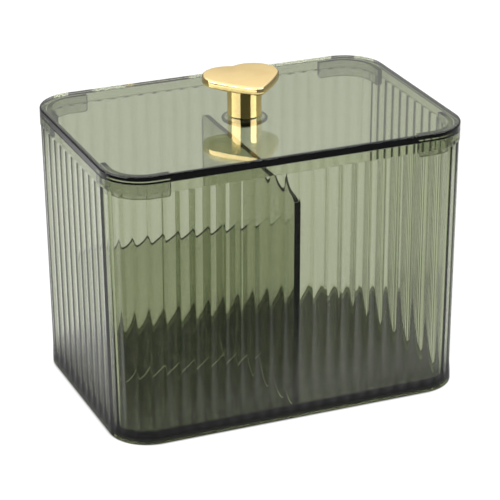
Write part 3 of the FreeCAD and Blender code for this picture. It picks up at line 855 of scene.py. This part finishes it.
def make_heart():
    bm = bmesh.new()
    low, high = heart_low.z + SEAT_GAP, heart_high.z
    outline = closed_loop(bm, heart_points(low))[1]
    socket = closed_loop(bm, circle_points(KNOB_AXIS, SPIGOT_RADIUS + SEAT_GAP, low, HOLE_STEPS))[1]
    upper = extrude_loop(bm, outline, lambda vertex: Vector((*vertex.co.xy, high)))
    cap(bm, upper)
    roof = extrude_loop(bm, socket, lambda vertex: Vector((*vertex.co.xy, stem_high.z + SEAT_GAP)))
    cap(bm, roof)
    fill_between(bm, [outline, socket])
    crown = [edge for edge in bm.edges if min(v.co.z for v in edge.verts) > high - GUARD]
    round_off(bm, crown, HEART_ROUND)
    round_off(bm, [edge for edge in outline if edge.is_valid], HEART_UNDER)
    flat = [face for face in bm.faces if face.calc_center_median().z > high - GUARD and face.normal.z > 0.99]
    bmesh.ops.inset_region(bm, faces=flat, thickness=GUARD)
    return finish_piece(bm, "heart_plate", "knob_heart", gold)


make_heart()

# %% [markdown]
# What the camera and the clear plastic see around the object is plain white. A polished surface is another
# matter: in front of the object, on the camera's side, the room is dark, and that darkness is what draws the
# lid's edge and the stripe down the post. So a mirrored ray, and only that one, sees a room of its own: the
# sky is brightest overhead, the horizon and the front are dark, and the floor has a painted shadow right
# beside the tub, is bright a little further out, and fades further away.
#
# Hardly any light gets under the tub, so the floor fades there for every ray. The footprint's distance
# function does that: the distance from a smaller rectangle less the corner radius. Each fade below is four
# numbers: from where to where it goes, and the levels that it starts and ends with.

# %% Floor and world
FLOOR_SIZE = 6.0
FLOOR_DROP = 0.02 * MM
FLOOR_GLOW = 0.95
FLOOR_TONE = 0.12
FRONT = (math.sin(AZIMUTH), -math.cos(AZIMUTH), 0.0)
DARK = 0.03
UNDER_TUB = (-1.0 * MM, 1.0 * MM, 0.02, 1.0)
# Painted shadow beside the tub, seen only by mirrored rays.
NEAR_TUB_SHADOW = (0.0, 30.0 * MM, 0.2, 1.0)
FAR_FLOOR = (190.0 * MM, 300.0 * MM, 1.0, 0.15)
FRONT_FLOOR = (50.0 * MM, 110.0 * MM, 1.0, DARK)
FRONT_ROOM = (0.25, 0.7, 1.0, 0.0)
HORIZON_TO_SKY = (0.15, 0.35, 0.15, 0.72)
OVERHEAD = (0.41, 0.5, 0.0, 1.5)


def seen_plainly(start):
    """One for a ray that no surface has mirrored yet, nought after the first mirror."""
    return start.node("ShaderNodeLightPath", output="Glossy Depth") < 0.5


def make_floor():
    bm = bmesh.new()
    bmesh.ops.create_grid(bm, x_segments=1, y_segments=1, size=FLOOR_SIZE / 2)
    mesh = bpy.data.meshes.new("floor")
    bm.to_mesh(mesh)
    bm.free()
    floor = bpy.data.objects.new("floor", mesh)
    bpy.context.scene.collection.objects.link(floor)
    material, output, start = new_material("floor_white")
    place = start.node("ShaderNodeTexCoord", output="Object")
    ahead = start.node("ShaderNodeVectorMath", {"operation": "DOT_PRODUCT"}, {0: place, 1: FRONT}, "Value")
    plain = seen_plainly(start)
    folded = start.node("ShaderNodeVectorMath", {"operation": "ABSOLUTE"}, {0: place})
    inner = (INNER_X - LEAN, INNER_Y - LEAN, 0.0)
    past = start.node("ShaderNodeVectorMath", {"operation": "SUBTRACT"}, {0: folded, 1: inner})
    outside = start.node("ShaderNodeVectorMath", {"operation": "MAXIMUM"}, {0: past, 1: (0.0, 0.0, 0.0)})
    away = start.node("ShaderNodeVectorMath", {"operation": "LENGTH"}, {0: outside}, "Value")
    clear = away - CORNER_RADIUS
    under = smooth_range(clear, *UNDER_TUB)
    # Painted shadow: a mirrored ray sees the floor darker right beside the tub.
    near = smooth_range(clear, *NEAR_TUB_SHADOW)
    far = smooth_range(clear, *FAR_FLOOR)
    mirrored = smooth_range(ahead, *FRONT_FLOOR) * near * far
    glow = (plain + (1.0 - plain) * mirrored) * under * FLOOR_GLOW
    surface = start.node("ShaderNodeBsdfPrincipled", sockets={
        "Base Color": under * FLOOR_TONE,
        "Roughness": 0.9,
        "Specular IOR Level": 0.0,
        "Emission Color": glow,
        "Emission Strength": 1.0,
    })
    connect(material.node_tree, surface, output.inputs["Surface"])
    mesh.materials.append(material)
    floor.location.z = -FLOOR_DROP
    return floor


def make_world():
    world = bpy.data.worlds.new("studio")
    bpy.context.scene.world = world
    world.use_nodes = True
    world.node_tree.nodes.clear()
    output = world.node_tree.nodes.new("ShaderNodeOutputWorld")
    start = Shade(world.node_tree)
    way = start.node("ShaderNodeTexCoord", output="Generated")
    ahead = start.node("ShaderNodeVectorMath", {"operation": "DOT_PRODUCT"}, {0: way, 1: FRONT}, "Value")
    plain = seen_plainly(start)
    height = start.node("ShaderNodeSeparateXYZ", sockets={"Vector": way}, output="Z")
    room = smooth_range(ahead, *FRONT_ROOM) * smooth_range(height, *HORIZON_TO_SKY) + DARK
    mirrored = room.most(smooth_range(height, *OVERHEAD))
    strength = plain + (1.0 - plain) * mirrored
    backdrop = start.node("ShaderNodeBackground", sockets={"Color": CLEAR_WHITE, "Strength": strength})
    connect(world.node_tree, backdrop, output.inputs["Surface"])
    return world


make_floor()
make_world()
print("floor and world ready, front at", [round(value, 3) for value in FRONT])

# %% [markdown]
# Two wide soft boxes stand to the left and the right, at the height where the post mirrors them by way of
# the lid, and the gap between them is the dark stripe down the post. The left one reaches down to the
# horizon, where the round edge of the heart catches it. A lamp's radiance is its power over pi times its
# area, so each gets a radiance and not a power.

# %% Soft boxes
def soft_box(name, azimuth, spread, radiance, elevation=23.0, tall=10.0, near=1.0):
    """A soft box at an azimuth in degrees, as wide and as tall as the angles it should fill."""
    turn = math.radians(azimuth)
    data = bpy.data.lights.new(name, "AREA")
    data.shape = "RECTANGLE"
    data.size = 2 * near * math.tan(math.radians(spread / 2))
    data.size_y = 2 * near * math.tan(math.radians(tall / 2))
    data.energy = radiance * math.pi * data.size * data.size_y
    lamp = bpy.data.objects.new(name, data)
    level = Vector((math.sin(turn), -math.cos(turn), math.tan(math.radians(elevation)))) * near
    lamp.location = level + Vector((KNOB_AXIS.x, KNOB_AXIS.y, LID_TOP))
    lamp.rotation_euler = (-level).to_track_quat("-Z", "Y").to_euler()
    bpy.context.scene.collection.objects.link(lamp)
    return lamp


boxes = [
    soft_box("left_box", -84.0, 66.0, 4.6, elevation=14.0, tall=28.0),
    soft_box("right_box", 41.5, 45.0, 5.5),
]
print("soft boxes:", [(box.name, round(box.data.energy, 2)) for box in boxes])

# %% [markdown]
# The plain view transform keeps the colours as they were chosen. The dressed model has to stay inside the
# imported one.

# %% View transform
bpy.context.scene.view_settings.view_transform = "Standard"
